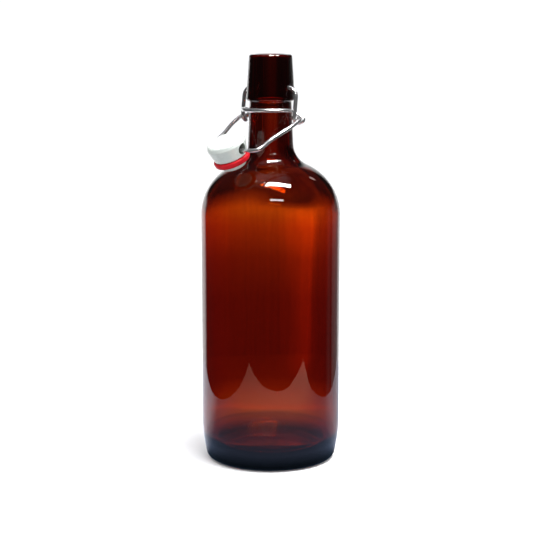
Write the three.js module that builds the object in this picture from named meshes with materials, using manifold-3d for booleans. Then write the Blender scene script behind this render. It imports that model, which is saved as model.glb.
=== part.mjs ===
// A one-litre swing top bottle, open, with its stopper hanging in front of the neck.
// Millimetres, +Z up. The origin is the centre of the base, on the surface it stands on.
//
// The closure is built with its pivot axis along X and its front towards -Y, and the
// whole assembly is then turned about the bottle's axis by CLOSURE_YAW.
import * as THREE from "three";
import { mergeVertices } from "three/addons/utils/BufferGeometryUtils.js";
import Module from "manifold-3d";

// Bottle
const HEIGHT = 269.3;
const BODY_RADIUS = 46;
const WALL = 3.1;
const BEARING_INNER = 36.8;
const BEARING_OUTER = 42.7;
const BEARING_EDGE = 1.2;
const HEEL_EDGE = 4.5;
const HEEL_TOP = 17.7;
const HEEL_ARC = 85;
const PUSH_UP = 3.6;
const PUSH_UP_SLOPE_RADIUS = 24;
const PUSH_UP_SLOPE_Z = 3.1;
const PUSH_UP_ARC = 60;
const FLOOR_Z = 10.5;
const FLOOR_DISH = 3;
const FLOOR_CORNER = 11;
const SHOULDER_Z = 163.8;
const SHOULDER_RADIUS = 36.4;
const NECK_FILLET = 16;
const INNER_NECK_FILLET = 18;
const NECK_RADIUS = 15.4;
const NECK_TOP_RADIUS = 13.7;
const NECK_TOP_EDGE = 0.9;
const FINISH_Z = 239.4;
const FINISH_RADIUS = 16;
const FINISH_EDGE = 1.6;
const FINISH_STEP = 0.4;
const LIP_RADIUS = 14.1;
const LIP_EDGE = 2;
const NECK_BORE = 10.6;
const MOUTH_BORE = 9.7;
const MOUTH_EDGE = 1.2;

// Wires
const WIRE = 2.7;
const CLOSURE_YAW = THREE.MathUtils.degToRad(38);
const PIVOT_Z = 248;
const SOCKET_RADIUS = 1.9;
const SOCKET_BOTTOM = 12.4;
const SOCKET_FLARE = 1.6;
const SOCKET_FLARE_BOTTOM = 14.8;
const SOCKET_FLARE_TOP = 16.4;
const PIN_TIP = 12.8;
const ARM_X = 21.4;
const ARM_BEND = 6.4;
const EYE_Y = 0.9;
const EYE_DROP = 19.4;
const EYE_RADIUS = 3.2;
const EYE_BULGE = 3;
const EYE_TURN = THREE.MathUtils.degToRad(250);
const EYE_LEAD_IN = 2.5;
const RING_RADIUS = 18.1;
const RING_Z = 233.6;
const RING_STEP = 1.4;
const RING_STEP_SPAN = 0.4;
const BAIL_DECLINE = THREE.MathUtils.degToRad(24.7);
const BAIL_LENGTH = 44.8;
const BAIL_HOOK_TIP = 16.2;
const BAIL_HOOK_BEND = 2.8;
const BAIL_EYE_X = 24.8;
const BAIL_TAPER_START = 11;
const BAIL_TAPER_END = 28;
const BAIL_LEG_BEND = 40;
const BAIL_TOP_X = 20.7;
const BAIL_CORNER = 5;

// Stopper and gasket, along the stopper's own axis with the wire hole at zero
const STOPPER_LEAN = THREE.MathUtils.degToRad(24.9);
const STOPPER_ROLL = THREE.MathUtils.degToRad(5.5);
const STOPPER_SLIDE = -3.2;
const HEAD_TOP = 7;
const HEAD_TOP_EDGE = 2;
const HEAD_CROWN_DROP = 0.6;
const HEAD_CROWN_INSET = 0.9;
const HEAD_RIM = 3.6;
const HEAD_RADIUS = 13;
const HEAD_BOTTOM = -5;
const HEAD_FOOT_RADIUS = 11;
const HEAD_EDGE = 0.8;
const STEM_RADIUS = 6;
const GASKET_GAP = 0.3;
const GASKET_THICKNESS = 3.9;
const GASKET_RADIUS = 12.2;
const GASKET_TAPER = 0.6;
const GASKET_BOTTOM_EDGE = 1.4;
const GASKET_TOP_EDGE = 1;
const PLUG_RADIUS = 8.9;
const PLUG_LENGTH = 2.8;
const PLUG_EDGE = 1.2;
const WIRE_HOLE = 1.8;
const WIRE_HOLE_STRAIGHT = 1.5;
const WIRE_HOLE_MOUTH = 3.6;

// Fineness
const ARC_TOLERANCE = 0.12;
const ARC_SHARE = 0.99;
const WELD = 0.001;
const BOTTLE_SEGMENTS = 48;
const SMALL_SEGMENTS = 32;
const SOCKET_SEGMENTS = 20;
const HOLE_SEGMENTS = 16;
const WIRE_SIDES = 8;
const LEVER_STEPS = 130;
const EYE_STEPS = 14;
const RING_STEPS = 28;
const BAIL_STEPS = 70;

const amberGlass = new THREE.MeshStandardMaterial({ color: 0x5a1f06, roughness: 0.05, metalness: 0 });
const brightSteel = new THREE.MeshStandardMaterial({ color: 0xb9bbbd, roughness: 0.22, metalness: 1 });
const whitePlastic = new THREE.MeshStandardMaterial({ color: 0xf1f0ea, roughness: 0.3, metalness: 0 });
const redRubber = new THREE.MeshStandardMaterial({ color: 0xb4101a, roughness: 0.6, metalness: 0 });

const wasm = await Module();
wasm.setup();

// Replaces each corner that has a radius with a tangent arc. A corner is [x, y, z, radius].
function roundCorners(corners) {
  const places = corners.map(([x, y, z]) => new THREE.Vector3(x, y, z));
  return corners.flatMap(([, , , radius], i) => {
    if (!radius) return [places[i]];
    const back = places[i - 1].clone().sub(places[i]).normalize();
    const ahead = places[i + 1].clone().sub(places[i]).normalize();
    const half = back.angleTo(ahead) / 2;
    const inward = back.clone().add(ahead).normalize();
    const centre = places[i].clone().addScaledVector(inward, radius / Math.sin(half));
    const start = places[i].clone().addScaledVector(back, radius / Math.tan(half)).sub(centre);
    const sweep = Math.PI - 2 * half;
    const steps = Math.ceil(sweep / (2 * Math.acos(1 - ARC_TOLERANCE / radius)));
    return Array.from({ length: steps + 1 }, (_, step) => {
      const angle = (sweep * step) / steps;
      const alongStart = start.clone().multiplyScalar(Math.cos(angle));
      return alongStart.addScaledVector(back, -radius * Math.sin(angle)).add(centre);
    });
  });
}

// Turns an outline of [r, z, corner radius] rows about Z.
function turned(outline, segments) {
  const points = roundCorners(outline.map(([r, z, radius]) => [r, z, 0, radius]));
  const lathe = new THREE.LatheGeometry(points.map((p) => new THREE.Vector2(p.x, p.y)), segments);
  return lathe.rotateX(Math.PI / 2);
}

function solidFrom(geometry) {
  const bare = geometry.clone();
  bare.deleteAttribute("normal");
  bare.deleteAttribute("uv");
  const merged = mergeVertices(bare, WELD);
  const vertProperties = merged.attributes.position.array;
  const triVerts = new Uint32Array(merged.index.array);
  return new wasm.Manifold(new wasm.Mesh({ numProp: 3, vertProperties, triVerts }));
}

function geometryFrom(solid) {
  const { vertProperties, triVerts } = solid.getMesh();
  const geometry = new THREE.BufferGeometry();
  geometry.setAttribute("position", new THREE.BufferAttribute(vertProperties, 3));
  geometry.setIndex(new THREE.BufferAttribute(triVerts, 1));
  geometry.computeVertexNormals();
  return geometry;
}

// A round wire along a list of points.
function wireAlong(points, steps) {
  const path = new THREE.CatmullRomCurve3(points, false, "centripetal");
  path.arcLengthDivisions = 8 * steps;
  const section = new THREE.Shape(
    Array.from({ length: WIRE_SIDES }, (_, side) => {
      const angle = (2 * Math.PI * side) / WIRE_SIDES;
      return new THREE.Vector2(Math.cos(angle), Math.sin(angle)).multiplyScalar(WIRE / 2);
    }),
  );
  return new THREE.ExtrudeGeometry(section, { steps, extrudePath: path, bevelEnabled: false });
}

function mirrored(points) {
  return points.map((p) => new THREE.Vector3(-p.x, p.y, p.z)).reverse();
}

// The shoulder arc, centred on the height where the straight wall ends, runs into the
// concave neck arc. Returns the two corners whose tangent arcs they are, each arc a
// little short so that a straight stays between them.
function shoulderCorners(wallRadius, shoulderRadius, filletRadius, neckRadius) {
  const centre = wallRadius - shoulderRadius;
  const reach = shoulderRadius + filletRadius;
  const across = (neckRadius + filletRadius - centre) / reach;
  const up = Math.sqrt(1 - across * across);
  const joinR = centre + shoulderRadius * across;
  const joinZ = SHOULDER_Z + shoulderRadius * up;
  const slope = across / up;
  const wallCorner = joinZ - (wallRadius - joinR) * slope;
  const neckCorner = joinZ + (joinR - neckRadius) * slope;
  return [
    [wallRadius, wallCorner, ARC_SHARE * shoulderRadius],
    [neckRadius, neckCorner, ARC_SHARE * filletRadius],
  ];
}

// Outside from the push-up to the lip, then down the bore and along the inside wall.
function bottleShell() {
  const innerRadius = BODY_RADIUS - WALL;
  const outside = [
    [0, PUSH_UP],
    [PUSH_UP_SLOPE_RADIUS, PUSH_UP_SLOPE_Z, PUSH_UP_ARC],
    [BEARING_INNER, 0, BEARING_EDGE],
    [BEARING_OUTER, 0, HEEL_EDGE],
    [BODY_RADIUS, HEEL_TOP, HEEL_ARC],
    ...shoulderCorners(BODY_RADIUS, SHOULDER_RADIUS, NECK_FILLET, NECK_RADIUS),
    [NECK_TOP_RADIUS, FINISH_Z - FINISH_STEP, NECK_TOP_EDGE],
    [FINISH_RADIUS, FINISH_Z, FINISH_EDGE],
    [LIP_RADIUS, HEIGHT, LIP_EDGE],
  ];
  const inside = [
    [MOUTH_BORE, HEIGHT, MOUTH_EDGE],
    ...shoulderCorners(innerRadius, SHOULDER_RADIUS - WALL, INNER_NECK_FILLET, NECK_BORE).reverse(),
    [innerRadius, FLOOR_Z - FLOOR_DISH, FLOOR_CORNER],
    [0, FLOOR_Z],
  ];
  return turned([...outside, ...inside], BOTTLE_SEGMENTS);
}

// Two blind sockets in the sides of the finish, where the lever's ends pivot.
function pivotSocket(side) {
  const outside = FINISH_RADIUS + WALL;
  const outline = [
    [0, SOCKET_BOTTOM],
    [SOCKET_RADIUS, SOCKET_BOTTOM],
    [SOCKET_RADIUS, SOCKET_FLARE_BOTTOM],
    [SOCKET_RADIUS + SOCKET_FLARE, SOCKET_FLARE_TOP],
    [SOCKET_RADIUS + SOCKET_FLARE, outside],
    [0, outside],
  ];
  return turned(outline, SOCKET_SEGMENTS)
    .rotateY((side * Math.PI) / 2)
    .translate(0, 0, PIVOT_Z);
}

function bottleGeometry() {
  const shell = solidFrom(bottleShell());
  const sockets = solidFrom(pivotSocket(1)).add(solidFrom(pivotSocket(-1)));
  return geometryFrom(shell.subtract(sockets));
}

// Half of the locking lever: pin, arm, then down the front of the eye, round its back
// and over its top, ending inside the arm.
function leverHalf() {
  const eyeZ = PIVOT_Z - EYE_DROP;
  const pinAndArm = roundCorners([
    [PIN_TIP, 0, PIVOT_Z],
    [ARM_X, 0, PIVOT_Z, ARM_BEND],
    [ARM_X, EYE_Y - EYE_RADIUS, eyeZ + EYE_LEAD_IN],
  ]);
  const eye = Array.from({ length: EYE_STEPS + 1 }, (_, step) => {
    const turn = step / EYE_STEPS;
    const angle = EYE_TURN * turn;
    const inward = (ARM_X - RING_RADIUS) * THREE.MathUtils.smoothstep(turn, 0.55, 1);
    const bulge = EYE_BULGE * Math.sin(Math.PI * THREE.MathUtils.smoothstep(turn, 0.3, 1));
    return new THREE.Vector3(
      ARM_X - inward + bulge,
      EYE_Y - EYE_RADIUS * Math.cos(angle),
      eyeZ - EYE_RADIUS * Math.sin(angle),
    );
  });
  return [...pinAndArm, ...eye];
}

// The finger ring of the lever runs round the front of the neck from eye to eye.
function leverGeometry() {
  const half = leverHalf();
  const ring = Array.from({ length: RING_STEPS + 1 }, (_, step) => {
    const angle = (Math.PI * step) / RING_STEPS;
    const front = Math.sin(angle);
    const stepLeft = 1 - Math.min(1, front / RING_STEP_SPAN);
    const z = RING_Z - RING_STEP * stepLeft * stepLeft;
    return new THREE.Vector3(RING_RADIUS * Math.cos(angle), -RING_RADIUS * front, z);
  });
  return wireAlong([...half, ...ring, ...mirrored(half)], LEVER_STEPS);
}

// A flat bail: hooks through the eyes from outside, legs, and a crossbar at the far end.
function bailGeometry() {
  const half = roundCorners([
    [BAIL_HOOK_TIP, 0, 0],
    [BAIL_EYE_X, 0, 0, BAIL_HOOK_BEND],
    [BAIL_EYE_X, -BAIL_TAPER_START, 0, BAIL_LEG_BEND],
    [BAIL_TOP_X, -BAIL_TAPER_END, 0, BAIL_LEG_BEND],
    [BAIL_TOP_X, -BAIL_LENGTH, 0, BAIL_CORNER],
    [0, -BAIL_LENGTH, 0],
  ]);
  const points = [...half, ...mirrored(half.slice(0, -1))];
  return wireAlong(points, BAIL_STEPS)
    .rotateX(BAIL_DECLINE)
    .translate(0, EYE_Y, PIVOT_Z - EYE_DROP);
}

function crossbarCentre() {
  return new THREE.Vector3(
    STOPPER_SLIDE,
    EYE_Y - BAIL_LENGTH * Math.cos(BAIL_DECLINE),
    PIVOT_Z - EYE_DROP - BAIL_LENGTH * Math.sin(BAIL_DECLINE),
  );
}

function stopperGeometry() {
  const plugTop = HEAD_BOTTOM - 2 * GASKET_GAP - GASKET_THICKNESS;
  const body = turned(
    [
      [0, plugTop - PLUG_LENGTH],
      [PLUG_RADIUS - PLUG_EDGE, plugTop - PLUG_LENGTH, PLUG_EDGE],
      [PLUG_RADIUS, plugTop, HEAD_EDGE],
      [STEM_RADIUS, plugTop],
      [STEM_RADIUS, HEAD_BOTTOM],
      [HEAD_FOOT_RADIUS, HEAD_BOTTOM, HEAD_EDGE],
      [HEAD_RADIUS, HEAD_RIM, HEAD_EDGE],
      [HEAD_RADIUS - HEAD_CROWN_INSET, HEAD_TOP - HEAD_CROWN_DROP, HEAD_TOP_EDGE],
      [0, HEAD_TOP],
    ],
    SMALL_SEGMENTS,
  );
  const wireHole = turned(
    [
      [0, -HEAD_RADIUS],
      [WIRE_HOLE_MOUTH, -HEAD_RADIUS],
      [WIRE_HOLE, -WIRE_HOLE_STRAIGHT],
      [WIRE_HOLE, WIRE_HOLE_STRAIGHT],
      [WIRE_HOLE_MOUTH, HEAD_RADIUS],
      [0, HEAD_RADIUS],
    ],
    HOLE_SEGMENTS,
  ).rotateY(Math.PI / 2);
  return geometryFrom(solidFrom(body).subtract(solidFrom(wireHole)));
}

function gasketGeometry() {
  const top = HEAD_BOTTOM - GASKET_GAP;
  const bottom = top - GASKET_THICKNESS;
  const inner = STEM_RADIUS + GASKET_GAP;
  return turned(
    [
      [inner, top],
      [inner, bottom],
      [GASKET_RADIUS - GASKET_TAPER, bottom, GASKET_BOTTOM_EDGE],
      [GASKET_RADIUS, top, GASKET_TOP_EDGE],
      [inner, top],
    ],
    SMALL_SEGMENTS,
  );
}

function named(name, geometry, material) {
  const mesh = new THREE.Mesh(geometry, material);
  mesh.name = name;
  return mesh;
}

const stopperAssembly = new THREE.Group();
stopperAssembly.add(named("stopper", stopperGeometry(), whitePlastic));
stopperAssembly.add(named("gasket", gasketGeometry(), redRubber));
stopperAssembly.position.copy(crossbarCentre());
stopperAssembly.rotation.set(STOPPER_LEAN, -STOPPER_ROLL, 0);

const swingTopBottle = new THREE.Group();
swingTopBottle.add(named("bottle", bottleGeometry(), amberGlass));
swingTopBottle.add(named("locking_lever", leverGeometry(), brightSteel));
swingTopBottle.add(named("bail_wire", bailGeometry(), brightSteel));
swingTopBottle.add(stopperAssembly);
swingTopBottle.rotation.z = -CLOSURE_YAW;

export default swingTopBottle;
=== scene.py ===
"""A one-litre amber swing top bottle, open, with its stopper hanging in front of the neck.

The shapes are built in millimetres and scaled to metres. The closure is shaped with its pivot
axis along X and its front towards -Y, then turned about the bottle's axis by CLOSURE_YAW.
"""
import math

import bmesh
import bpy
import numpy as np
from mathutils import Matrix, Vector, noise


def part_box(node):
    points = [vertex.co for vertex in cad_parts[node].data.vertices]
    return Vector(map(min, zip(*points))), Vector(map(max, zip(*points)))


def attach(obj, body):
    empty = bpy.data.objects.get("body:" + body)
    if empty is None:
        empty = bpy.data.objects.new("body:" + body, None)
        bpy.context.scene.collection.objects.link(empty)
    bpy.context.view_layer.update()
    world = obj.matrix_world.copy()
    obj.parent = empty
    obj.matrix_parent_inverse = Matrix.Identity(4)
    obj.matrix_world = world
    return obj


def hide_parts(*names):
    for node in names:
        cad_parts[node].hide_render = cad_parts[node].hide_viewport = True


MM = 0.001

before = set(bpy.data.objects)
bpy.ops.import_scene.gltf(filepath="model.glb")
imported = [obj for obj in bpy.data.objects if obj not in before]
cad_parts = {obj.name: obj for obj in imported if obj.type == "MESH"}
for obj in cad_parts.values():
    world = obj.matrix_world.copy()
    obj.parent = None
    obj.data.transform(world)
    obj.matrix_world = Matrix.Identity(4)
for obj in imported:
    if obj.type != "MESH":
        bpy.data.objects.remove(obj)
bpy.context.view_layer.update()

# Bottle, in millimetres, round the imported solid's height and radius
BODY_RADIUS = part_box("bottle")[1].x / MM
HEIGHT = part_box("bottle")[1].z / MM
WALL_TOP, WALL_FOOT = 2.8, 3.4
BEARING_INNER, BEARING_OUTER, BEARING_ROUND = 36.8, 42.7, 1.2
HEEL_ROUND, HEEL_TOP, HEEL_TOP_ROUND = 4.5, 17.7, 85
PUSH_UP, PUSH_UP_EDGE, PUSH_UP_EDGE_Z, PUSH_UP_ROUND = 3.6, 24, 3.1, 60
FLOOR_Z, FLOOR_EDGE_DROP, FLOOR_EDGE_ROUND = 10.5, 3, 11
SHOULDER_Z, SHOULDER_RADIUS = 163.8, 36.4
NECK_FILLET, INNER_NECK_FILLET = 16.0, 18.0
NECK_RADIUS, NECK_TOP_RADIUS = 15.4, 13.7
FINISH_Z, FINISH_RADIUS, FINISH_ROUND = 239.4, 16.0, 1.6
FINISH_UNDERCUT, FINISH_UNDERCUT_ROUND = 0.4, 0.9
LIP_RADIUS, LIP_ROUND = 14.1, 2.0
NECK_BORE, MOUTH_BORE, MOUTH_ROUND = 10.6, 9.7, 1.2
ARC_SHARE = 0.99

# How uneven the glass is. Azimuths are in radians from the front, positive towards +X
WANDER, WANDER_TURNS, WANDER_LENGTH = 0.28, 1.6, 90
FINE_WANDER, FINE_WANDER_SCALE = 0.05, 3.1
SWELL, SWELL_FOOT, SWELL_FULL = 2.5, 172, 192
SWELL_RISE, SWELL_FALL = (-0.35, 0.45), (0.5, 1.0)
SEAM_HEIGHT, SEAM_WIDTH, SEAM_FOOT, SEAM_INNERMOST = 0.06, 0.45, 6, 14

# Sockets for the lever's pins. Their depths are distances from the bottle's axis
PIVOT_Z = 248.0
SOCKET_RADIUS, SOCKET_BOTTOM, SOCKET_BOTTOM_ROUND = 1.9, 12.4, 0.5
SOCKET_MOUTH, SOCKET_MOUTH_ROUND = 14.8, 0.6
SOCKET_FLARE, SOCKET_FLARE_END, SOCKET_TOOL_END = 1.6, 16.4, 19

# Wires
WIRE, WIRE_CHAMFER = 2.7, 0.35
CLOSURE_YAW = math.radians(38)
PIN_TIP = 12.8
ARM_X, ARM_BEND = 21.4, 6.4
EYE_Y, EYE_DROP, EYE_RADIUS = 0.9, 19.4, 3.2
EYE_BULGE, EYE_TURN, EYE_LEAD_IN = 3.0, math.radians(250), 2.5
EYE_BULGE_FROM, EYE_INWARD_FROM = 0.3, 0.55
RING_RADIUS, RING_Z = 18.1, 233.6
RING_STEP, RING_STEP_SPAN = 1.4, 0.4
BAIL_DECLINE, BAIL_LENGTH = math.radians(24.7), 44.8
BAIL_HOOK_TIP, BAIL_HOOK_BEND = 16.2, 2.8
BAIL_EYE_X, BAIL_TOP_X = 24.8, 20.7
BAIL_TAPER_START, BAIL_TAPER_END, BAIL_LEG_BEND = 11.0, 28.0, 40.0
BAIL_CORNER = 5.0

# Stopper and gasket, along the stopper's own axis with the wire hole at zero
STOPPER_LEAN, STOPPER_ROLL = math.radians(24.9), math.radians(5.5)
STOPPER_SLIDE = -3.2
HEAD_TOP, HEAD_TOP_INSET, HEAD_TOP_SLOPE, HEAD_TOP_ROUND = 7.0, 0.9, 0.6, 2
HEAD_RIM, HEAD_RADIUS, HEAD_RIM_ROUND = 3.6, 13.0, 0.7
HEAD_BOTTOM, HEAD_FOOT_RADIUS, HEAD_FOOT_ROUND = -5.0, 11.0, 0.8
DIMPLE_RADIUS, DIMPLE_EDGE, DIMPLE_ROUND = 2.2, 0.05, 0.4
DIMPLE_FLOOR_RADIUS, DIMPLE_FLOOR_EDGE, DIMPLE_FLOOR_ROUND, DIMPLE_DEPTH = 1.6, 0.4, 0.3, 0.45
STEM_RADIUS, STEM_ROUND = 6.0, 0.3
GASKET_GAP, GASKET_THICKNESS, GASKET_RADIUS = 0.3, 3.9, 12.2
GASKET_TOP_ROUND, GASKET_WAIST, GASKET_WAIST_ROUND = 1.0, 0.25, 3
GASKET_FOOT_INSET, GASKET_FOOT_ROUND = 0.6, 1.4
PLUG_RADIUS, PLUG_LENGTH, PLUG_TOP_ROUND = 8.9, 2.8, 0.8
PLUG_TAPER, PLUG_FOOT_ROUND = 1.2, 1.2
WIRE_HOLE, WIRE_HOLE_STRAIGHT, WIRE_HOLE_MOUTH, WIRE_HOLE_ROUND = 1.8, 1.5, 3.6, 4
HOLE_TOOL_OVER = 0.2

# Fineness
ON_AXIS, MERGE_DISTANCE, ARC_ERROR = 1e-6, 1e-3, 0.004
BOTTLE_SEGMENTS, SMALL_SEGMENTS, TOOL_SEGMENTS, WIRE_SIDES = 192, 96, 40, 20
LONGEST_ROW, STOPPER_ROW, GASKET_ROW = 4.0, 1.2, 0.8
SWEEP_STEP, SWEEP_PASSES, PATH_TURN = 0.45, 6, 0.12
EYE_STEPS, RING_STEPS = 60, 120
SHARP_DEG, WIRE_SHARP_DEG, STOPPER_SHARP_DEG = 38, 50, 32


# Camera

CAMERA_PLACE = (-0.0004, -0.9857, 0.2952)
CAMERA_PITCH = math.radians(9.7)
CAMERA_LENS, SENSOR_WIDTH = 100, 36


def make_camera():
    data = bpy.data.cameras.new("camera")
    data.lens = CAMERA_LENS
    data.sensor_width = SENSOR_WIDTH
    camera = bpy.data.objects.new("camera", data)
    bpy.context.scene.collection.objects.link(camera)
    camera.location = CAMERA_PLACE
    camera.rotation_euler = (math.pi / 2 - CAMERA_PITCH, 0, 0)
    bpy.context.scene.camera = camera


# Shapes

def smoothstep(value, low, high):
    t = min(1.0, max(0.0, (value - low) / (high - low)))
    return t * t * (3 - 2 * t)


def tangent_arc(before, corner, after, radius, widest_step):
    """The points of the arc that rounds a corner, at most widest_step radians apart."""
    back = (before - corner).normalized()
    ahead = (after - corner).normalized()
    half = back.angle(ahead) / 2
    centre = corner + (back + ahead).normalized() * (radius / math.sin(half))
    start = corner + back * (radius / math.tan(half)) - centre
    sweep = math.pi - 2 * half
    steps = math.ceil(sweep / widest_step)
    angles = [sweep * step / steps for step in range(steps + 1)]
    return [centre + start * math.cos(a) - back * (radius * math.sin(a)) for a in angles]


def rounded(corners, axes, widest_step):
    """The corners' places, with a tangent arc where a radius follows the place's coordinates."""
    places = [Vector(corner[:axes]) for corner in corners]
    made = []
    for i, corner in enumerate(corners):
        if len(corner) > axes:
            radius = corner[axes]
            made += tangent_arc(places[i - 1], places[i], places[i + 1], radius, widest_step(radius))
        else:
            made.append(places[i])
    return made


def round_outline(corners):
    """An outline of (r, z) points from corners (r, z) or (r, z, radius)."""
    return rounded(corners, 2, lambda radius: 2 * math.acos(1 - ARC_ERROR / radius))


def round_path(corners):
    """A wire's path from corners (x, y, z) or (x, y, z, radius)."""
    return rounded(corners, 3, lambda radius: PATH_TURN)


def split_long(points, longest):
    """The same outline with its long straights divided."""
    made = [points[0]]
    for a, b in zip(points, points[1:]):
        parts = max(1, math.ceil((b - a).length / longest))
        made += [a.lerp(b, i / parts) for i in range(1, parts + 1)]
    return made


def piece_from(name, vertices, faces, material, sharp_deg):
    """An object from points in millimetres and their faces."""
    mesh = bpy.data.meshes.new(name)
    mesh.from_pydata([tuple(v) for v in vertices], [], faces)
    mesh.transform(Matrix.Scale(MM, 4))
    made = bpy.data.objects.new(name, mesh)
    bpy.context.scene.collection.objects.link(made)
    finish_surface(made, sharp_deg)
    made.data.materials.append(material)
    return made


def finish_surface(piece, sharp_deg):
    """Joins points that coincide, faces everything outwards, and smooths all but the sharp edges."""
    mesh = piece.data
    shape = bmesh.new()
    shape.from_mesh(mesh)
    bmesh.ops.remove_doubles(shape, verts=shape.verts, dist=MERGE_DISTANCE * MM)
    bmesh.ops.recalc_face_normals(shape, faces=shape.faces)
    shape.to_mesh(mesh)
    shape.free()
    mesh.polygons.foreach_set("use_smooth", [True] * len(mesh.polygons))
    mesh.set_sharp_from_angle(angle=math.radians(sharp_deg))


def lathe(name, outline, segments, material, shift=None, closed=False):
    """Turns an outline of (r, z) points about Z. shift(row, r, z, azimuth) may change each radius."""
    vertices, rows = [], []
    for row, (r, z) in enumerate(outline):
        if r < ON_AXIS:
            rows.append([len(vertices)])
            vertices.append((0, 0, z))
            continue
        rows.append(list(range(len(vertices), len(vertices) + segments)))
        for i in range(segments):
            azimuth = math.tau * i / segments
            radius = shift(row, r, z, azimuth) if shift else r
            vertices.append((radius * math.sin(azimuth), -radius * math.cos(azimuth), z))
    if closed:
        rows.append(rows[0])
    faces = []
    for low, high in zip(rows, rows[1:]):
        for i in range(segments):
            j = (i + 1) % segments
            face = [low[i % len(low)], low[j % len(low)], high[j % len(high)], high[i % len(high)]]
            face = list(dict.fromkeys(face))
            if len(face) > 2:
                faces.append(face)
    return piece_from(name, vertices, faces, material, SHARP_DEG)


def cut(piece, tool, sharp_deg):
    """Takes the tool's shape out of the piece, and removes the tool."""
    boolean = piece.modifiers.new("cut", "BOOLEAN")
    boolean.operation = "DIFFERENCE"
    boolean.solver = "EXACT"
    boolean.object = tool
    graph = bpy.context.evaluated_depsgraph_get()
    mesh = bpy.data.meshes.new_from_object(piece.evaluated_get(graph))
    piece.modifiers.clear()
    material = piece.data.materials[0]
    piece.data = mesh
    mesh.materials.clear()
    mesh.materials.append(material)
    mesh.polygons.foreach_set("material_index", [0] * len(mesh.polygons))
    bpy.data.objects.remove(tool)
    finish_surface(piece, sharp_deg)


def smoothed(points):
    """The points at even steps along their line, with their kinks eased. The ends stay."""
    line = np.array(points, float)
    lengths = np.concatenate([[0], np.cumsum(np.linalg.norm(np.diff(line, axis=0), axis=1))])
    even = np.linspace(0, lengths[-1], round(lengths[-1] / SWEEP_STEP))
    line = np.stack([np.interp(even, lengths, line[:, k]) for k in range(3)], 1)
    for _ in range(SWEEP_PASSES):
        line[1:-1] = (line[:-2] + 2 * line[1:-1] + line[2:]) / 4
    return line


def chamfered_end(ring, inwards):
    """A wire's end ring made narrower, and a full ring just inside it."""
    place, u, v, radius = ring
    return [(place, u, v, radius - WIRE_CHAMFER), (place + inwards * WIRE_CHAMFER, u, v, radius)]


def wire_rings(line):
    """A ring at each point of the line: its centre, two directions across the wire, and its radius."""
    tangents = np.gradient(line, axis=0)
    tangents /= np.linalg.norm(tangents, axis=1)[:, None]
    any_direction = (0.3, 0.5, 0.8)
    side = np.cross(tangents[0], any_direction)
    rings = []
    for place, tangent in zip(line, tangents):
        side = side - tangent * side.dot(tangent)
        side /= np.linalg.norm(side)
        rings.append((place, side.copy(), np.cross(tangent, side), WIRE / 2))
    rings[:1] = chamfered_end(rings[0], tangents[0])
    rings[-1:] = reversed(chamfered_end(rings[-1], -tangents[-1]))
    return rings


def sweep_wire(name, points, material):
    """A round wire with chamfered ends, and UVs that run along it and round it."""
    line = smoothed(points)
    rings = wire_rings(line)
    vertices = []
    for place, u, v, radius in rings:
        for k in range(WIRE_SIDES):
            angle = math.tau * k / WIRE_SIDES
            vertices.append(place + radius * (u * math.cos(angle) + v * math.sin(angle)))
    faces = []
    for i in range(len(rings) - 1):
        for k in range(WIRE_SIDES):
            a, b = i * WIRE_SIDES + k, i * WIRE_SIDES + (k + 1) % WIRE_SIDES
            faces.append([a, b, b + WIRE_SIDES, a + WIRE_SIDES])
    faces.append(list(range(WIRE_SIDES))[::-1])
    faces.append([len(vertices) - WIRE_SIDES + k for k in range(WIRE_SIDES)])
    made = piece_from(name, vertices, faces, material, WIRE_SHARP_DEG)
    add_wire_uvs(made, line)
    return made


def add_wire_uvs(piece, line):
    """U is the distance along the wire in metres, and V runs once round it."""
    mesh = piece.data
    layer = mesh.uv_layers.new(name="along")
    centres = line * MM
    owner = np.zeros(len(mesh.loops), int)
    mesh.loops.foreach_get("vertex_index", owner)
    spots = np.array([v.co for v in mesh.vertices])
    nearest = np.array([np.argmin(((centres - s) ** 2).sum(1)) for s in spots])
    along = nearest * SWEEP_STEP * MM
    around = (np.arange(len(spots)) % WIRE_SIDES) / WIRE_SIDES
    layer.data.foreach_set("uv", np.stack([along[owner], around[owner]], 1).ravel())


def turn_closure(piece):
    """Turns a piece from the closure's own axes to the bottle's."""
    piece.data.transform(Matrix.Rotation(-CLOSURE_YAW, 4, "Z"))


# Node helpers

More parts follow.
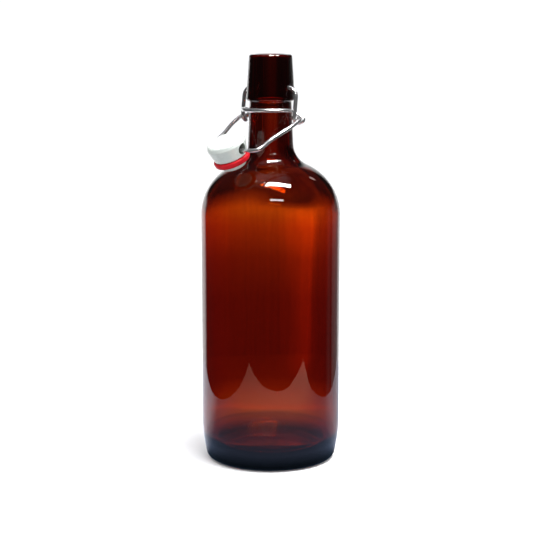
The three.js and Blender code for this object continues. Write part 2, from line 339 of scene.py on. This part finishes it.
class Nodes:
    """Short ways to add shader nodes to a tree. Most give back the socket that holds the result."""

    def __init__(self, tree):
        self.tree = tree

    def add(self, kind, **values):
        node = self.tree.nodes.new(kind)
        for key, value in values.items():
            setattr(node, key, value)
        return node

    def link(self, a, b):
        self.tree.links.new(a, b)

    def fill(self, socket, value):
        """Sets a socket to a plain value, or links another socket to it."""
        if isinstance(value, (int, float, tuple)):
            socket.default_value = value
        else:
            self.link(value, socket)

    def split(self, vector):
        node = self.add("ShaderNodeSeparateXYZ")
        self.link(vector, node.inputs[0])
        return node.outputs

    def noise(self, place, scale, detail=4.0, roughness=0.5):
        node = self.add("ShaderNodeTexNoise")
        node.inputs["Scale"].default_value = scale
        node.inputs["Detail"].default_value = detail
        node.inputs["Roughness"].default_value = roughness
        self.link(place, node.inputs["Vector"])
        return node.outputs["Fac"]

    def ramp(self, factor, stops):
        node = self.add("ShaderNodeValToRGB")
        elements = node.color_ramp.elements
        while len(elements) < len(stops):
            elements.new(0.5)
        for element, (at, color) in zip(elements, stops):
            element.position = at
            element.color = (*color, 1)
        self.link(factor, node.inputs["Fac"])
        return node.outputs["Color"]

    def grey_ramp(self, factor, stops):
        return self.ramp(factor, [(at, (value,) * 3) for at, value in stops])

    def mix(self, blend, factor, a, b):
        node = self.add("ShaderNodeMix", data_type="RGBA", blend_type=blend)
        for key, value in (("Factor", factor), ("A", a), ("B", b)):
            self.fill(node.inputs[key], value)
        return node.outputs["Result"]

    def range(self, factor, low, high, to_low=0, to_high=1, interpolation="LINEAR"):
        node = self.add("ShaderNodeMapRange", interpolation_type=interpolation)
        for key, value in zip(("From Min", "From Max", "To Min", "To Max"), (low, high, to_low, to_high)):
            node.inputs[key].default_value = value
        self.link(factor, node.inputs["Value"])
        return node.outputs["Result"]

    def math(self, operation, a, b=0.0):
        node = self.add("ShaderNodeMath", operation=operation)
        for socket, value in zip(node.inputs, (a, b)):
            self.fill(socket, value)
        return node.outputs[0]

    def length(self, x, y):
        """The distance of (x, y) from zero."""
        return self.math("SQRT", self.math("ADD", self.math("MULTIPLY", x, x), self.math("MULTIPLY", y, y)))


class MaterialNodes(Nodes):
    """A node material with a Principled shader."""

    def __init__(self, name):
        self.material = bpy.data.materials.new(name)
        self.material.use_nodes = True
        super().__init__(self.material.node_tree)
        self.shader = self.tree.nodes["Principled BSDF"]
        self.output = self.tree.nodes["Material Output"]

    def scaled(self, place, scale):
        mapping = self.add("ShaderNodeMapping")
        mapping.inputs["Scale"].default_value = scale
        self.link(place, mapping.inputs["Vector"])
        return mapping.outputs["Vector"]

    def position(self, scale=(1, 1, 1)):
        return self.scaled(self.add("ShaderNodeTexCoord").outputs["Object"], scale)

    def along_wire(self, scale):
        return self.scaled(self.add("ShaderNodeUVMap", uv_map="along").outputs["UV"], scale)

    def bump(self, height, strength, distance):
        node = self.add("ShaderNodeBump")
        node.inputs["Strength"].default_value = strength
        node.inputs["Distance"].default_value = distance
        self.link(height, node.inputs["Height"])
        self.drive("Normal", node.outputs["Normal"])

    def set(self, **values):
        """Sets the shader's sockets to values that are the same all over."""
        for key, value in values.items():
            self.shader.inputs[key.replace("_", " ")].default_value = value

    def drive(self, name, value):
        """Links a result to one of the shader's sockets."""
        self.link(value, self.shader.inputs[name])


# Materials

def amber_glass():
    """Clear glass with its colour in the depth, and faint waves and upright lines on its skin."""
    m = MaterialNodes("amber_glass")
    m.set(Roughness=0.0, IOR=1.52, Transmission_Weight=1.0)
    haze = m.noise(m.position(), 22, 2)
    m.drive("Base Color", m.ramp(haze, [(0.3, (0.93, 0.91, 0.88)), (0.7, (1, 1, 1))]))
    waves = m.noise(m.position((1, 1, 0.35)), 60, 2)
    lines = m.noise(m.position((1, 1, 0.02)), 230, 3)
    m.bump(m.math("ADD", waves, m.math("MULTIPLY", lines, 0.3)), 0.12, 0.0006)
    absorb = m.add("ShaderNodeVolumeAbsorption")
    absorb.inputs["Color"].default_value = (0.86, 0.57, 0.0, 1)
    absorb.inputs["Density"].default_value = 1300
    m.link(absorb.outputs["Volume"], m.output.inputs["Volume"])
    return m.material


def drawn_steel():
    """Bright drawn wire: fine lines along it, a few dull patches."""
    m = MaterialNodes("drawn_steel")
    m.set(Metallic=0.93)
    lines = m.noise(m.along_wire((30, 40, 1)), 1.0, 6, 0.6)
    patches = m.noise(m.position(), 160, 4)
    m.drive("Base Color", m.ramp(patches, [(0.3, (0.74, 0.74, 0.75)), (0.62, (0.88, 0.88, 0.89))]))
    worn = m.math("ADD", m.math("MULTIPLY", lines, 0.6), m.math("MULTIPLY", patches, 0.4))
    m.drive("Roughness", m.range(worn, 0.3, 0.7, 0.17, 0.28))
    m.bump(lines, 0.1, 0.00008)
    return m.material


def white_stopper():
    """Glossy off-white moulding with a very faint mottle, and painted shade that darkens it inside the wire
    hole.
    """
    m = MaterialNodes("white_stopper")
    m.set(IOR=1.5, Coat_Weight=0.2, Coat_Roughness=0.1)
    mottle = m.noise(m.position(), 260, 5)
    moulding_tone = m.ramp(mottle, [(0.3, (0.575, 0.62, 0.58)), (0.7, (0.595, 0.64, 0.60))])
    # painted shade: the colour falls to nearly black towards the wire hole's axis, where the hole is in
    # shade
    painted_hole_shade = m.ramp(m.math("DIVIDE", distance_from_hole(m), WIRE_HOLE_MOUTH * MM), [
        (0.0, (0.02, 0.02, 0.02)),
        (0.62, (0.05, 0.05, 0.045)),
        (0.92, (0.34, 0.35, 0.31)),
        (1.0, (1, 1, 1)),
    ])
    m.drive("Base Color", m.mix("MULTIPLY", 1.0, moulding_tone, painted_hole_shade))
    m.drive("Roughness", m.range(mottle, 0.3, 0.7, 0.2, 0.32))
    m.bump(m.noise(m.position(), 900, 3), 0.06, 0.0001)
    return m.material


def distance_from_hole(m):
    """How far a point is from the axis of the stopper's wire hole."""
    inverse = stopper_place().inverted()
    mapping = m.add("ShaderNodeMapping")
    mapping.inputs["Location"].default_value = inverse.to_translation()
    mapping.inputs["Rotation"].default_value = inverse.to_euler("XYZ")
    m.link(m.add("ShaderNodeTexCoord").outputs["Object"], mapping.inputs["Vector"])
    _, y, z = m.split(mapping.outputs["Vector"])
    return m.length(y, z)


def red_rubber():
    """Moulded red rubber, darker where it has picked up grime, with a fine grain."""
    m = MaterialNodes("red_rubber")
    m.set(Specular_IOR_Level=0.25)
    mottle = m.noise(m.position(), 180, 5)
    m.drive("Base Color", m.ramp(mottle, [(0.3, (0.46, 0.003, 0.008)), (0.68, (0.62, 0.004, 0.014))]))
    m.drive("Roughness", m.range(mottle, 0.3, 0.7, 0.62, 0.38))
    m.bump(m.noise(m.position(), 2600, 4), 0.35, 0.0002)
    return m.material


# The bottle

def shoulder_corners(wall_radius, shoulder_radius, fillet_radius, neck_radius):
    """The two corners whose tangent arcs are the shoulder and the foot of the neck."""
    centre = wall_radius - shoulder_radius
    across = (neck_radius + fillet_radius - centre) / (shoulder_radius + fillet_radius)
    up = math.sqrt(1 - across * across)
    join_r = centre + shoulder_radius * across
    join_z = SHOULDER_Z + shoulder_radius * up
    slope = across / up
    return [
        (wall_radius, join_z - (wall_radius - join_r) * slope, ARC_SHARE * shoulder_radius),
        (neck_radius, join_z + (join_r - neck_radius) * slope, ARC_SHARE * fillet_radius),
    ]


def outside_outline():
    return split_long(round_outline([
        (0, PUSH_UP),
        (PUSH_UP_EDGE, PUSH_UP_EDGE_Z, PUSH_UP_ROUND),
        (BEARING_INNER, 0, BEARING_ROUND),
        (BEARING_OUTER, 0, HEEL_ROUND),
        (BODY_RADIUS, HEEL_TOP, HEEL_TOP_ROUND),
        *shoulder_corners(BODY_RADIUS, SHOULDER_RADIUS, NECK_FILLET, NECK_RADIUS),
        (NECK_TOP_RADIUS, FINISH_Z - FINISH_UNDERCUT, FINISH_UNDERCUT_ROUND),
        (FINISH_RADIUS, FINISH_Z, FINISH_ROUND),
        (LIP_RADIUS, HEIGHT, LIP_ROUND),
        (MOUTH_BORE, HEIGHT),
    ])[:-1], LONGEST_ROW)


def inside_outline():
    top, foot = BODY_RADIUS - WALL_TOP, BODY_RADIUS - WALL_FOOT
    shoulder = shoulder_corners(top, SHOULDER_RADIUS - WALL_TOP, INNER_NECK_FILLET, NECK_BORE)
    return split_long(round_outline([
        (LIP_RADIUS, HEIGHT),
        (MOUTH_BORE, HEIGHT, MOUTH_ROUND),
        *reversed(shoulder),
        (foot, FLOOR_Z - FLOOR_EDGE_DROP, FLOOR_EDGE_ROUND),
        (0, FLOOR_Z),
    ])[1:], LONGEST_ROW)


def seamed_outside(r, z, azimuth):
    """Two faint mould seams stand up from the outside, in line with the lever's pins."""
    if z <= SEAM_FOOT or r <= SEAM_INNERMOST:
        return r
    across = math.cos(azimuth + CLOSURE_YAW) * r / SEAM_WIDTH
    return r + SEAM_HEIGHT * math.exp(-(across ** 2))


def uneven_inside(r, z, azimuth):
    """The inner wall wanders a little, and swells inwards on one side of the shoulder."""
    share = min(1.0, max(0.0, (r - NECK_BORE) / (BODY_RADIUS - NECK_BORE)))
    spot = Vector((math.sin(azimuth) * WANDER_TURNS, math.cos(azimuth) * WANDER_TURNS, z / WANDER_LENGTH))
    wander = noise.noise(spot) * WANDER + noise.noise(spot * FINE_WANDER_SCALE) * FINE_WANDER
    turn = math.remainder(azimuth, math.tau)
    rise, fall = smoothstep(turn, *SWELL_RISE), smoothstep(turn, *SWELL_FALL)
    swell = SWELL * smoothstep(z, SWELL_FOOT, SWELL_FULL) * rise * (1 - fall)
    return r + (wander - swell) * share


def socket_tool(side, material):
    """The shape that cuts the lever's socket on one side of the finish."""
    socket = lathe("socket_tool", round_outline([
        (0, SOCKET_BOTTOM),
        (SOCKET_RADIUS, SOCKET_BOTTOM, SOCKET_BOTTOM_ROUND),
        (SOCKET_RADIUS, SOCKET_MOUTH, SOCKET_MOUTH_ROUND),
        (SOCKET_RADIUS + SOCKET_FLARE, SOCKET_FLARE_END),
        (SOCKET_RADIUS + SOCKET_FLARE, SOCKET_TOOL_END),
        (0, SOCKET_TOOL_END),
    ]), TOOL_SEGMENTS, material)
    sideways = Matrix.Rotation(side * math.pi / 2, 4, "Y")
    socket.data.transform(Matrix.Translation((0, 0, PIVOT_Z * MM)) @ sideways)
    turn_closure(socket)
    return socket


def make_bottle(material):
    outside, inside = outside_outline(), inside_outline()

    def shift(row, r, z, azimuth):
        return (seamed_outside if row < len(outside) else uneven_inside)(r, z, azimuth)

    bottle = lathe("glass_bottle", outside + inside, BOTTLE_SEGMENTS, material, shift)
    for side in (1, -1):
        cut(bottle, socket_tool(side, material), SHARP_DEG)
    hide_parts("bottle")
    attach(bottle, "bottle")


# The wires

def mirrored(points):
    """The points in the other half, in the order that carries the line on."""
    return [Vector((-p.x, p.y, p.z)) for p in reversed(points)]


def lever_half():
    """Pin, arm, then down the front of the eye, round its back and over its top."""
    eye_z = PIVOT_Z - EYE_DROP
    points = round_path([
        (PIN_TIP, 0, PIVOT_Z),
        (ARM_X, 0, PIVOT_Z, ARM_BEND),
        (ARM_X, EYE_Y - EYE_RADIUS, eye_z + EYE_LEAD_IN),
    ])
    for step in range(EYE_STEPS + 1):
        turn = step / EYE_STEPS
        angle = EYE_TURN * turn
        inward = (ARM_X - RING_RADIUS) * smoothstep(turn, EYE_INWARD_FROM, 1)
        bulge = EYE_BULGE * math.sin(math.pi * smoothstep(turn, EYE_BULGE_FROM, 1))
        points.append(Vector((
            ARM_X - inward + bulge,
            EYE_Y - EYE_RADIUS * math.cos(angle),
            eye_z - EYE_RADIUS * math.sin(angle),
        )))
    return points


def lever_line():
    """Both halves and the ring round the front of the neck, which dips where it leaves the eyes."""
    half = lever_half()
    ring = []
    for step in range(RING_STEPS + 1):
        angle = math.pi * step / RING_STEPS
        front = math.sin(angle)
        step_left = 1 - min(1, front / RING_STEP_SPAN)
        z = RING_Z - RING_STEP * step_left * step_left
        ring.append(Vector((RING_RADIUS * math.cos(angle), -RING_RADIUS * front, z)))
    return half + ring + mirrored(half)


def bail_line():
    """Hook, tapering leg and half the crossbar, mirrored, then leant forwards from the eyes."""
    half = round_path([
        (BAIL_HOOK_TIP, 0, 0),
        (BAIL_EYE_X, 0, 0, BAIL_HOOK_BEND),
        (BAIL_EYE_X, -BAIL_TAPER_START, 0, BAIL_LEG_BEND),
        (BAIL_TOP_X, -BAIL_TAPER_END, 0, BAIL_LEG_BEND),
        (BAIL_TOP_X, -BAIL_LENGTH, 0, BAIL_CORNER),
        (0, -BAIL_LENGTH, 0),
    ])
    flat = half + mirrored(half[:-1])
    place = Matrix.Translation((0, EYE_Y, PIVOT_Z - EYE_DROP)) @ Matrix.Rotation(BAIL_DECLINE, 4, "X")
    return [place @ p for p in flat]


def make_wire(name, line, material, node, body):
    wire = sweep_wire(name, line, material)
    turn_closure(wire)
    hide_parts(node)
    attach(wire, body)


# The stopper and its gasket

def stopper_place():
    """From the stopper's own axes, with its wire hole along X, to the bottle's."""
    centre = Vector((
        STOPPER_SLIDE,
        EYE_Y - BAIL_LENGTH * math.cos(BAIL_DECLINE),
        PIVOT_Z - EYE_DROP - BAIL_LENGTH * math.sin(BAIL_DECLINE),
    ))
    lean = Matrix.Rotation(STOPPER_LEAN, 4, "X") @ Matrix.Rotation(-STOPPER_ROLL, 4, "Y")
    return Matrix.Rotation(-CLOSURE_YAW, 4, "Z") @ Matrix.Translation(centre * MM) @ lean


def stopper_outline():
    plug_top = HEAD_BOTTOM - 2 * GASKET_GAP - GASKET_THICKNESS
    return split_long(round_outline([
        (0, plug_top - PLUG_LENGTH),
        (PLUG_RADIUS - PLUG_TAPER, plug_top - PLUG_LENGTH, PLUG_FOOT_ROUND),
        (PLUG_RADIUS, plug_top, PLUG_TOP_ROUND),
        (STEM_RADIUS, plug_top),
        (STEM_RADIUS, HEAD_BOTTOM, STEM_ROUND),
        (HEAD_FOOT_RADIUS, HEAD_BOTTOM, HEAD_FOOT_ROUND),
        (HEAD_RADIUS, HEAD_RIM, HEAD_RIM_ROUND),
        (HEAD_RADIUS - HEAD_TOP_INSET, HEAD_TOP - HEAD_TOP_SLOPE, HEAD_TOP_ROUND),
        (DIMPLE_RADIUS, HEAD_TOP - DIMPLE_EDGE, DIMPLE_ROUND),
        (DIMPLE_FLOOR_RADIUS, HEAD_TOP - DIMPLE_FLOOR_EDGE, DIMPLE_FLOOR_ROUND),
        (0, HEAD_TOP - DIMPLE_DEPTH),
    ]), STOPPER_ROW)


def make_stopper(material):
    stopper = lathe("stopper_head", stopper_outline(), SMALL_SEGMENTS, material)
    hole_end = HEAD_RADIUS + HOLE_TOOL_OVER
    hole = lathe("hole_tool", round_outline([
        (0, -hole_end),
        (WIRE_HOLE_MOUTH, -hole_end),
        (WIRE_HOLE, -WIRE_HOLE_STRAIGHT, WIRE_HOLE_ROUND),
        (WIRE_HOLE, WIRE_HOLE_STRAIGHT, WIRE_HOLE_ROUND),
        (WIRE_HOLE_MOUTH, hole_end),
        (0, hole_end),
    ]), TOOL_SEGMENTS, material)
    hole.data.transform(Matrix.Rotation(math.pi / 2, 4, "Y"))
    cut(stopper, hole, STOPPER_SHARP_DEG)
    stopper.data.transform(stopper_place())
    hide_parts("stopper")
    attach(stopper, "stopper")


def make_gasket(material):
    top = HEAD_BOTTOM - GASKET_GAP
    bottom = top - GASKET_THICKNESS
    inner = STEM_RADIUS + GASKET_GAP
    ring = split_long(round_outline([
        (inner, top),
        (inner, bottom),
        (GASKET_RADIUS - GASKET_FOOT_INSET, bottom, GASKET_FOOT_ROUND),
        (GASKET_RADIUS - GASKET_WAIST, (top + bottom) / 2, GASKET_WAIST_ROUND),
        (GASKET_RADIUS, top, GASKET_TOP_ROUND),
        (inner, top),
    ])[:-1], GASKET_ROW)
    gasket = lathe("rubber_gasket", ring, SMALL_SEGMENTS, material, closed=True)
    gasket.data.transform(stopper_place())
    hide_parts("gasket")
    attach(gasket, "stopper")


# The stage: a pale floor for the camera, soft lights, and graded surroundings for the glass: glowing
# pieces with painted light, shade and reflections. Light that has come through the glass sees the tent
# and the pad, mirrored light sees the table and the world's walls, and matt surfaces see the bounce.
# No piece of the stage throws a shadow.

PAD_Z, TABLE_Z, PALE_FLOOR_Z, BOUNCE_Z = -0.0001, -0.0002, -0.0004, -0.0008
PALE_FLOOR_SIZE, BOUNCE_RADIUS, PAD_RADIUS = 12.0, 3.0, 0.4
TENT_RADIUS, TENT_FOOT, TENT_HEIGHT = 0.30, -0.02, 0.275
STRIP_FADE, NECK_FADE, NECK_PANELS = (0.136, 0.122), (0.156, 0.164), 8
STAGE_SIDES = 96
WHITE = (1.0, 1.0, 1.0, 1)


def shown_to(piece, **kinds):
    """Sets which kinds of ray see a piece of the stage. The kinds left out don't."""
    for kind in ("camera", "diffuse", "glossy", "transmission", "volume_scatter", "shadow"):
        setattr(piece, "visible_" + kind, kinds.get(kind, False))


def stage_piece(name, vertices, faces, material, **kinds):
    mesh = bpy.data.meshes.new(name)
    mesh.from_pydata(vertices, [], faces)
    made = bpy.data.objects.new(name, mesh)
    bpy.context.scene.collection.objects.link(made)
    mesh.materials.append(material)
    shown_to(made, **kinds)


def flat_stage_piece(name, corners, z, material, **kinds):
    vertices = [(x, y, z) for x, y in corners]
    stage_piece(name, vertices, [tuple(range(len(vertices)))], material, **kinds)


def circle(radius):
    turns = [math.tau * i / STAGE_SIDES for i in range(STAGE_SIDES)]
    return [(radius * math.sin(turn), radius * math.cos(turn)) for turn in turns]


def pale_floor():
    m = MaterialNodes("pale_floor")
    grain = m.noise(m.position(), 40, 3)
    m.drive("Base Color", m.ramp(grain, [(0.3, (0.93, 0.93, 0.94)), (0.7, (0.96, 0.96, 0.97))]))
    m.set(Roughness=0.9, Specular_IOR_Level=0.0)
    size = PALE_FLOOR_SIZE
    corners = [(-size, -size), (size, -size), (size, size), (-size, size)]
    flat_stage_piece("floor", corners, PALE_FLOOR_Z, m.material, camera=True)


def glow(name, color_at):
    """An emission material whose colour comes from color_at(nodes, x, y, z) in metres."""
    m = MaterialNodes(name)
    place = m.split(m.add("ShaderNodeNewGeometry").outputs["Position"])
    emission = m.add("ShaderNodeEmission")
    m.link(color_at(m, *place), emission.inputs["Color"])
    m.link(emission.outputs[0], m.output.inputs["Surface"])
    m.tree.nodes.remove(m.shader)
    m.material.cycles.emission_sampling = "NONE"
    return m.material


def tent_color(m, x, y, z):
    """Graded up the wall, with streaks and the light strip for the body, and panels for the neck."""
    by_height = m.ramp(m.math("DIVIDE", z, TENT_HEIGHT), [
        (0.00, (0.29, 0.07, 0.045)),
        (0.18, (0.31, 0.08, 0.055)),
        (0.31, (0.46, 0.18, 0.12)),
        (0.41, (0.84, 0.48, 0.37)),
        (0.46, (1.20, 1.08, 0.92)),
        (0.49, (1.20, 1.08, 0.92)),
        (0.53, (0.66, 0.50, 0.42)),
        (0.575, (0.24, 0.15, 0.12)),
        (0.64, (0.40, 0.33, 0.28)),
        (0.73, (0.40, 0.34, 0.30)),
        (0.775, (0.10, 0.09, 0.09)),
        (1.00, (0.07, 0.07, 0.08)),
    ])
    azimuth = m.math("ARCTAN2", x, y)
    is_strip = m.range(z, *STRIP_FADE)
    strip = m.mix("MIX", is_strip, WHITE, light_strip(m, azimuth))
    streaks = m.range(m.noise(azimuth, 60, 3), 0.35, 0.65, 0.88, 1.12)
    body = m.mix("MULTIPLY", 1.0, strip, streaks)
    is_neck = m.range(z, *NECK_FADE)
    return m.mix("MULTIPLY", 1.0, by_height, m.mix("MIX", is_neck, body, neck_panels(m, azimuth)))


def neck_panels(m, azimuth):
    """Panels round the wall, each a light band with a bright line beside it."""
    panels_round = m.math("MULTIPLY", azimuth, NECK_PANELS / math.tau)
    across_panel = m.math("FRACT", m.math("ADD", panels_round, 0.5))
    return m.grey_ramp(across_panel, [
        (0.0, 0.25), (0.30, 0.28), (0.312, 1.6), (0.325, 0.35), (0.40, 0.7),
        (0.46, 1.15), (0.60, 1.15), (0.69, 0.3), (1.0, 0.25),
    ])


def light_strip(m, azimuth):
    """How light the wall is by azimuth: a soft-edged strip on the right, and a lighter far left."""
    left = m.range(azimuth, -0.14, -0.34, 1.0, 1.3)
    right = m.grey_ramp(m.range(azimuth, -0.16, 0.44), [
        (0.02, 1.0), (0.12, 0.92), (0.2, 0.88), (0.3, 0.98), (0.36, 1.15), (0.43, 1.65),
        (0.47, 2.0), (0.53, 2.05), (0.56, 1.35), (0.63, 1.0), (0.74, 1.15), (0.84, 1.0),
    ])
    return m.mix("MULTIPLY", 1.0, right, left)


def tent():
    """A wall round the bottle, which only light that has come through the glass sees."""
    ring = circle(TENT_RADIUS)
    vertices = [(x, y, z) for z in (TENT_FOOT, TENT_HEIGHT) for x, y in ring]
    nexts = [(i, (i + 1) % STAGE_SIDES) for i in range(STAGE_SIDES)]
    faces = [(i, j, STAGE_SIDES + j, STAGE_SIDES + i) for i, j in nexts]
    stage_piece("tent", vertices, faces, glow("tent_glow", tent_color), transmission=True)


def pad_color(m, x, y, z):
    """A glow that paints the surface as the glass shows it: painted shadow under the bottle, painted light
    round it, then fading.
    """
    out = m.length(x, y)
    # painted shadow: nearly black within the bottle's foot, then a painted bright ring of lit surface
    by_distance = m.ramp(m.math("DIVIDE", out, PAD_RADIUS), [
        (0.0, (0.02, 0.03, 0.05)),
        (0.10, (0.02, 0.03, 0.06)),
        (0.125, (0.23, 0.145, 0.17)),
        (0.17, (0.46, 0.31, 0.34)),
        (0.25, (0.38, 0.33, 0.39)),
        (0.318, (0.80, 0.85, 0.9)),
        (0.33, (1.15, 1.0, 0.9)),
        (0.35, (0.85, 0.8, 0.8)),
        (0.44, (0.62, 0.35, 0.3)),
        (0.54, (0.36, 0.11, 0.06)),
        (1.0, (0.29, 0.075, 0.05)),
    ])
    is_far = m.range(out, 0.20, 0.28)
    strip = m.mix("MIX", is_far, WHITE, light_strip(m, m.math("ARCTAN2", x, y)))
    return m.mix("MULTIPLY", 1.0, by_distance, strip)


def bounce_color(m, x, y, z):
    """The light that comes back up from the surface on to the pieces."""
    share_out = m.math("DIVIDE", m.length(x, y), BOUNCE_RADIUS)
    return m.ramp(share_out, [(0.0, (0.6, 0.62, 0.65)), (1.0, (0.7, 0.7, 0.72))])


TABLE_CORNERS = (
    (-0.197, -0.296), (0.288, -0.222), (0.232, -0.1), (0.212, 0.02), (0.2, 0.25), (-0.225, 0.25),
)
TABLE_REACH = 0.3


def mirrored_table_color(m, x, y, z):
    """A glow that paints what the glass mirrors of the surface, a painted reflection: cool painted shade
    near the bottle, warm in front, pale behind.
    """
    out = m.length(x, y)
    by_distance = m.ramp(m.math("DIVIDE", out, TABLE_REACH), [
        (0.0, (0.03, 0.04, 0.06)),
        (0.157, (0.05, 0.08, 0.13)),
        (0.20, (0.33, 0.43, 0.70)),
        (0.50, (0.34, 0.42, 0.62)),
        (0.62, (0.95, 0.62, 0.56)),
        (0.78, (1.75, 0.86, 0.66)),
        (1.0, (1.9, 0.9, 0.66)),
    ])
    # painted light: the mirrored surface gets lighter towards +X
    from_left = m.grey_ramp(m.range(x, -0.25, 0.3), [(0.05, 0.62), (0.3, 0.82), (0.6, 1.0), (0.9, 1.05)])
    front = m.mix("MULTIPLY", 1.0, by_distance, from_left)
    is_side = m.math("MULTIPLY", m.range(y, -0.16, -0.05), m.range(out, 0.13, 0.19))
    front_and_sides = m.mix("MIX", is_side, front, (0.5, 0.45, 0.52, 1))
    rear = m.mix("MIX", m.range(x, -0.05, 0.05), (1.25, 1.3, 1.45, 1), (0.75, 0.78, 0.9, 1))
    return m.mix("MIX", m.range(y, -0.005, 0.05), front_and_sides, rear)


def soft_box(name, place, turn_deg, size, radiance, color=(1, 1, 1)):
    """A rectangular lamp of an even radiance, which points down until it is turned."""
    data = bpy.data.lights.new(name, "AREA")
    data.shape = "RECTANGLE"
    data.size, data.size_y = size
    data.color = color
    data.energy = radiance * size[0] * size[1] * math.pi
    lamp = bpy.data.objects.new(name, data)
    bpy.context.scene.collection.objects.link(lamp)
    lamp.location = place
    lamp.rotation_euler = [math.radians(angle) for angle in turn_deg]
    return lamp


def make_lights():
    overhead = soft_box("overhead", (0.185, -0.235, 1.19), (0, 0, 0), (0.63, 0.15), 90)
    overhead.visible_diffuse = False
    soft_box("rear_lamp", (0.63, 0.61, 0.86), (61, 0, 134), (0.07, 0.13), 4, (1.0, 0.82, 0.82))
    fill = soft_box("top_fill", (0.25, -0.2, 1.0), (0, 0, 0), (0.5, 0.5), 16)
    fill.visible_glossy = False
    fill.visible_transmission = False
    soft_box("front_strip", (0.22, -0.99, 1.03), (50, 0, 0), (0.48, 0.085), 18)


# The world's walls, as grey levels by degrees of azimuth, with the front at 0 and +X at 90
LOW_WALL = (
    (-180, 1.3), (-142, 1.2), (-134, 0.02), (104, 0.02), (110, 0.07), (117, 0.09),
    (119, 0.02), (121, 0.02), (124, 0.20), (146, 0.24), (152, 1.0), (180, 1.3),
)
HIGH_WALL = ((-180, 1.3), (-164, 1.2), (-154, 0.02), (156, 0.02), (166, 1.0), (180, 1.3))


def mirrored_room(w):
    """The room that mirrors see: walls that change above the horizon, a dark top, a grey ceiling."""
    x, y, z = w.split(w.add("ShaderNodeTexCoord").outputs["Generated"])
    azimuth = w.math("ARCTAN2", x, w.math("MULTIPLY", y, -1.0))
    turn = w.math("ADD", w.math("DIVIDE", azimuth, math.tau), 0.5)

    def wall(stops):
        return w.grey_ramp(turn, [(degrees / 360 + 0.5, value) for degrees, value in stops])

    def is_above(low, high):
        return w.range(z, low, high, interpolation="SMOOTHSTEP")

    walls = w.mix("MIX", is_above(0.02, 0.12), wall(LOW_WALL), wall(HIGH_WALL))
    upper = w.mix("MIX", is_above(0.3, 0.6), walls, (0.03, 0.03, 0.035, 1))
    return w.mix("MIX", is_above(0.9, 0.97), upper, (0.4, 0.38, 0.4, 1))


def make_world():
    """White to the camera, even white to matt surfaces, and a room to mirrors and through glass."""
    world = bpy.data.worlds.new("studio")
    bpy.context.scene.world = world
    world.use_nodes = True
    world.node_tree.nodes.clear()
    w = Nodes(world.node_tree)
    path = w.add("ShaderNodeLightPath")
    matt = w.mix("MIX", path.outputs["Is Diffuse Ray"], mirrored_room(w), (1.14, 1.14, 1.16, 1))
    seen = w.mix("MIX", path.outputs["Is Camera Ray"], matt, (1.05, 1.05, 1.05, 1))
    background = w.add("ShaderNodeBackground")
    w.link(seen, background.inputs["Color"])
    w.link(background.outputs[0], w.add("ShaderNodeOutputWorld").inputs["Surface"])


def make_stage():
    pale_floor()
    tent()
    flat_stage_piece("bounce", circle(BOUNCE_RADIUS), BOUNCE_Z, glow("bounce_glow", bounce_color),
                     diffuse=True)
    flat_stage_piece("glass_pad", circle(PAD_RADIUS), PAD_Z, glow("glass_pad_glow", pad_color),
                     transmission=True)
    flat_stage_piece("mirrored_table", TABLE_CORNERS, TABLE_Z, glow("table_glow", mirrored_table_color),
                     glossy=True)
    make_lights()
    make_world()
    view = bpy.context.scene.view_settings
    view.view_transform = "Standard"
    view.look = "None"


make_camera()
make_bottle(amber_glass())
steel = drawn_steel()
make_wire("lever_wire", lever_line(), steel, "locking_lever", "lever")
make_wire("bail", bail_line(), steel, "bail_wire", "bail")
make_stopper(white_stopper())
make_gasket(red_rubber())
make_stage()
